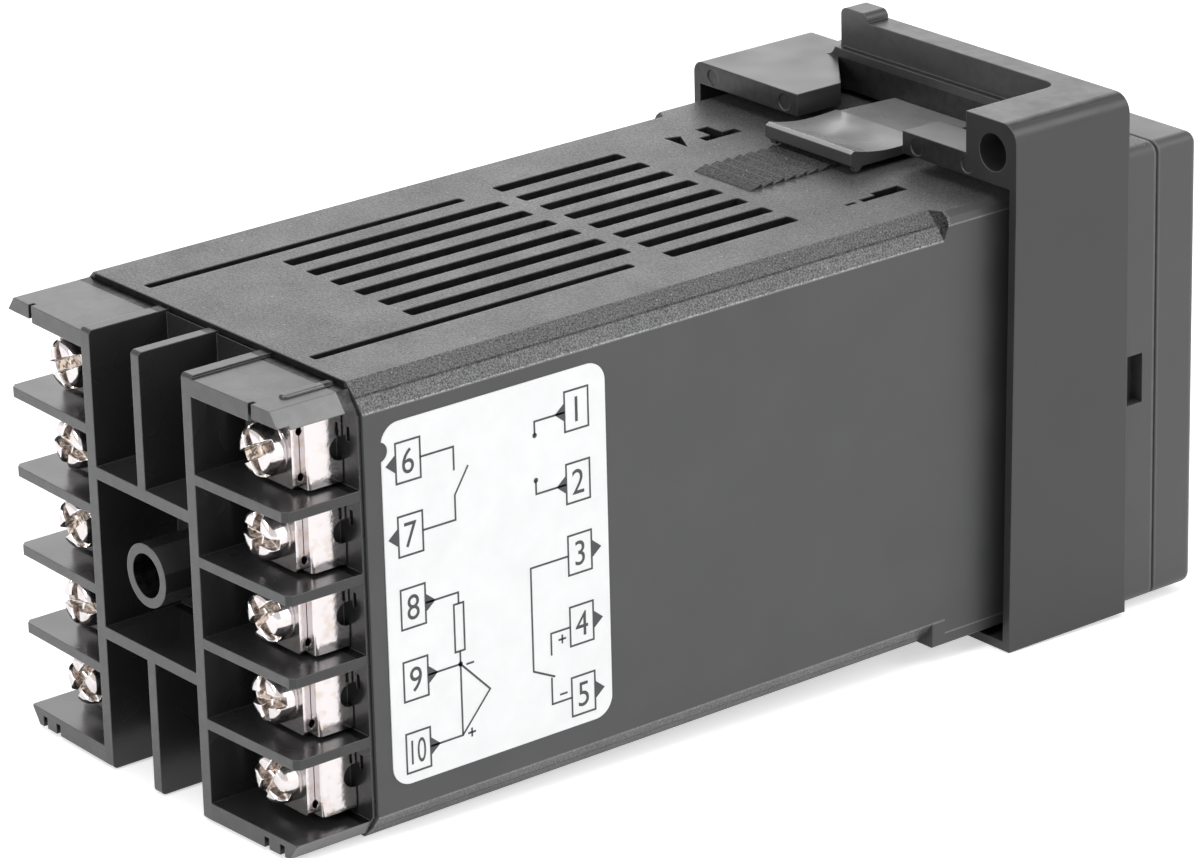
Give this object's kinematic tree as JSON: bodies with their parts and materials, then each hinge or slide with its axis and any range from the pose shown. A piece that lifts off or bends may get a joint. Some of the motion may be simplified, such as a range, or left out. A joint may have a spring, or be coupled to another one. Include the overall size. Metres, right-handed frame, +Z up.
{
  "type": "panel temperature controller",
  "caption": "Square panel instrument that measures and controls a temperature: deep vented case, plug-in chassis with keys and window, slide-on clamping bracket and rear screw terminals.",
  "frame": {"origin": "centre of the panel cut-out, in the plane of the flange rear face", "axes": "+Z up, -Y is the way the front looks, +Y runs along the case to the terminals, the printed label is on the -X side"},
  "size_m": [0.0489, 0.1112, 0.0552],
  "materials": {
    "case_plastic": "fine grained",
    "block_plastic": "satin",
    "bracket_plastic": "satin",
    "terminal_nickel": "bright plated",
    "screw_nickel": "bright plated",
    "label_film": "printed film",
    "window_acrylic": "smoked",
    "key_plastic": "satin",
    "plunger_plastic": "satin",
    "switch_plastic": "satin",
    "board_laminate": "solder mask",
    "display_body": "filled",
    "segment_resin": "frosted",
    "pad_plating": "plated",
    "ferrite": "ground",
    "coil_tape": "tape",
    "capacitor_can": "sleeved",
    "relay_case": "moulded",
    "chip_resin": "moulded",
    "fuse_body": "ceramic",
    "choke_body": "lacquered"
  },
  "bodies": {
    "case": {"case_shell": "case_plastic", "terminal_block": "block_plastic", "terminal_strips_minus": "terminal_nickel", "terminal_strips_plus": "terminal_nickel", "side_label": "label_film"},
    "chassis": {"front_bezel": "case_plastic", "display_window": "window_acrylic", "key_switches": "switch_plastic", "board_headers": "switch_plastic", "board_spacer": "switch_plastic", "display_board": "board_laminate", "main_board": "board_laminate", "power_board": "board_laminate", "upper_display": "display_body", "lower_display": "display_body", "upper_digits": "segment_resin", "lower_digits": "segment_resin", "indicator_lamps": "segment_resin", "contact_pads": "pad_plating", "transformer_core": "ferrite", "transformer_coil": "coil_tape", "mains_capacitor": "capacitor_can", "output_relay": "relay_case", "alarm_relay": "relay_case", "microcontroller": "chip_resin", "input_amplifier": "chip_resin", "small_parts": "chip_resin", "mains_fuse": "fuse_body", "filter_choke": "choke_body"},
    "bracket": {"mounting_bracket": "bracket_plastic"},
    "latch": {"bracket_latch": "bracket_plastic"},
    "key_1_body": {"key_1": "key_plastic", "key_plunger_1": "plunger_plastic"},
    "key_2_body": {"key_2": "key_plastic", "key_plunger_2": "plunger_plastic"},
    "key_3_body": {"key_3": "key_plastic", "key_plunger_3": "plunger_plastic"},
    "key_4_body": {"key_4": "key_plastic", "key_plunger_4": "plunger_plastic"},
    "clamp_1": {"clamp_plate_1": "screw_nickel"},
    "screw_1": {"terminal_screw_1": "screw_nickel"},
    "clamp_2": {"clamp_plate_2": "screw_nickel"},
    "screw_2": {"terminal_screw_2": "screw_nickel"},
    "clamp_3": {"clamp_plate_3": "screw_nickel"},
    "screw_3": {"terminal_screw_3": "screw_nickel"},
    "clamp_4": {"clamp_plate_4": "screw_nickel"},
    "screw_4": {"terminal_screw_4": "screw_nickel"},
    "clamp_5": {"clamp_plate_5": "screw_nickel"},
    "screw_5": {"terminal_screw_5": "screw_nickel"},
    "clamp_6": {"clamp_plate_6": "screw_nickel"},
    "screw_6": {"terminal_screw_6": "screw_nickel"},
    "clamp_7": {"clamp_plate_7": "screw_nickel"},
    "screw_7": {"terminal_screw_7": "screw_nickel"},
    "clamp_8": {"clamp_plate_8": "screw_nickel"},
    "screw_8": {"terminal_screw_8": "screw_nickel"},
    "clamp_9": {"clamp_plate_9": "screw_nickel"},
    "screw_9": {"terminal_screw_9": "screw_nickel"},
    "clamp_10": {"clamp_plate_10": "screw_nickel"},
    "screw_10": {"terminal_screw_10": "screw_nickel"}
  },
  "joints": [
    {"name": "chassis_withdraw", "type": "slide", "parent": "case", "child": "chassis", "axis": [0, -1, 0], "range_m": [0, 0.1]},
    {"name": "bracket_slide", "type": "slide", "parent": "case", "child": "bracket", "axis": [0, 1, 0], "range_m": [0, 0.101]},
    {"name": "latch_lift", "type": "hinge", "parent": "bracket", "child": "latch", "pos_m": [-0.00084, 0.00375, 0.0245], "axis": [1, 0, 0], "range_deg": [0, 6], "stiffness_Nm_per_rad": 0.2},
    {"name": "key_1_press", "type": "slide", "parent": "chassis", "child": "key_1_body", "axis": [0, 1, 0], "range_m": [0, 0.0005], "stiffness_N_per_m": 1500},
    {"name": "key_2_press", "type": "slide", "parent": "chassis", "child": "key_2_body", "axis": [0, 1, 0], "range_m": [0, 0.0005], "stiffness_N_per_m": 1500},
    {"name": "key_3_press", "type": "slide", "parent": "chassis", "child": "key_3_body", "axis": [0, 1, 0], "range_m": [0, 0.0005], "stiffness_N_per_m": 1500},
    {"name": "key_4_press", "type": "slide", "parent": "chassis", "child": "key_4_body", "axis": [0, 1, 0], "range_m": [0, 0.0005], "stiffness_N_per_m": 1500},
    {"name": "screw_1_turn", "type": "hinge", "parent": "clamp_1", "child": "screw_1", "pos_m": [-0.0152, 0.0968, 0.016], "axis": [0, 1, 0], "range_deg": [0, 1310]},
    {"name": "clamp_1_rise", "type": "slide", "parent": "case", "child": "clamp_1", "axis": [0, 1, 0], "range_m": [0, 0.0018]},
    {"name": "screw_2_turn", "type": "hinge", "parent": "clamp_2", "child": "screw_2", "pos_m": [-0.0152, 0.0968, 0.008], "axis": [0, 1, 0], "range_deg": [0, 1310]},
    {"name": "clamp_2_rise", "type": "slide", "parent": "case", "child": "clamp_2", "axis": [0, 1, 0], "range_m": [0, 0.0018]},
    {"name": "screw_3_turn", "type": "hinge", "parent": "clamp_3", "child": "screw_3", "pos_m": [-0.0152, 0.0968, 0], "axis": [0, 1, 0], "range_deg": [0, 1310]},
    {"name": "clamp_3_rise", "type": "slide", "parent": "case", "child": "clamp_3", "axis": [0, 1, 0], "range_m": [0, 0.0018]},
    {"name": "screw_4_turn", "type": "hinge", "parent": "clamp_4", "child": "screw_4", "pos_m": [-0.0152, 0.0968, -0.008], "axis": [0, 1, 0], "range_deg": [0, 1310]},
    {"name": "clamp_4_rise", "type": "slide", "parent": "case", "child": "clamp_4", "axis": [0, 1, 0], "range_m": [0, 0.0018]},
    {"name": "screw_5_turn", "type": "hinge", "parent": "clamp_5", "child": "screw_5", "pos_m": [-0.0152, 0.0968, -0.016], "axis": [0, 1, 0], "range_deg": [0, 1310]},
    {"name": "clamp_5_rise", "type": "slide", "parent": "case", "child": "clamp_5", "axis": [0, 1, 0], "range_m": [0, 0.0018]},
    {"name": "screw_6_turn", "type": "hinge", "parent": "clamp_6", "child": "screw_6", "pos_m": [0.0152, 0.0968, 0.016], "axis": [0, 1, 0], "range_deg": [0, 1310]},
    {"name": "clamp_6_rise", "type": "slide", "parent": "case", "child": "clamp_6", "axis": [0, 1, 0], "range_m": [0, 0.0018]},
    {"name": "screw_7_turn", "type": "hinge", "parent": "clamp_7", "child": "screw_7", "pos_m": [0.0152, 0.0968, 0.008], "axis": [0, 1, 0], "range_deg": [0, 1310]},
    {"name": "clamp_7_rise", "type": "slide", "parent": "case", "child": "clamp_7", "axis": [0, 1, 0], "range_m": [0, 0.0018]},
    {"name": "screw_8_turn", "type": "hinge", "parent": "clamp_8", "child": "screw_8", "pos_m": [0.0152, 0.0968, 0], "axis": [0, 1, 0], "range_deg": [0, 1310]},
    {"name": "clamp_8_rise", "type": "slide", "parent": "case", "child": "clamp_8", "axis": [0, 1, 0], "range_m": [0, 0.0018]},
    {"name": "screw_9_turn", "type": "hinge", "parent": "clamp_9", "child": "screw_9", "pos_m": [0.0152, 0.0968, -0.008], "axis": [0, 1, 0], "range_deg": [0, 1310]},
    {"name": "clamp_9_rise", "type": "slide", "parent": "case", "child": "clamp_9", "axis": [0, 1, 0], "range_m": [0, 0.0018]},
    {"name": "screw_10_turn", "type": "hinge", "parent": "clamp_10", "child": "screw_10", "pos_m": [0.0152, 0.0968, -0.016], "axis": [0, 1, 0], "range_deg": [0, 1310]},
    {"name": "clamp_10_rise", "type": "slide", "parent": "case", "child": "clamp_10", "axis": [0, 1, 0], "range_m": [0, 0.0018]}
  ],
  "couplings": [
    {"joint": "screw_1_turn", "follows": "clamp_1_rise", "rad_per_m": 12566},
    {"joint": "screw_2_turn", "follows": "clamp_2_rise", "rad_per_m": 12566},
    {"joint": "screw_3_turn", "follows": "clamp_3_rise", "rad_per_m": 12566},
    {"joint": "screw_4_turn", "follows": "clamp_4_rise", "rad_per_m": 12566},
    {"joint": "screw_5_turn", "follows": "clamp_5_rise", "rad_per_m": 12566},
    {"joint": "screw_6_turn", "follows": "clamp_6_rise", "rad_per_m": 12566},
    {"joint": "screw_7_turn", "follows": "clamp_7_rise", "rad_per_m": 12566},
    {"joint": "screw_8_turn", "follows": "clamp_8_rise", "rad_per_m": 12566},
    {"joint": "screw_9_turn", "follows": "clamp_9_rise", "rad_per_m": 12566},
    {"joint": "screw_10_turn", "follows": "clamp_10_rise", "rad_per_m": 12566}
  ]
}
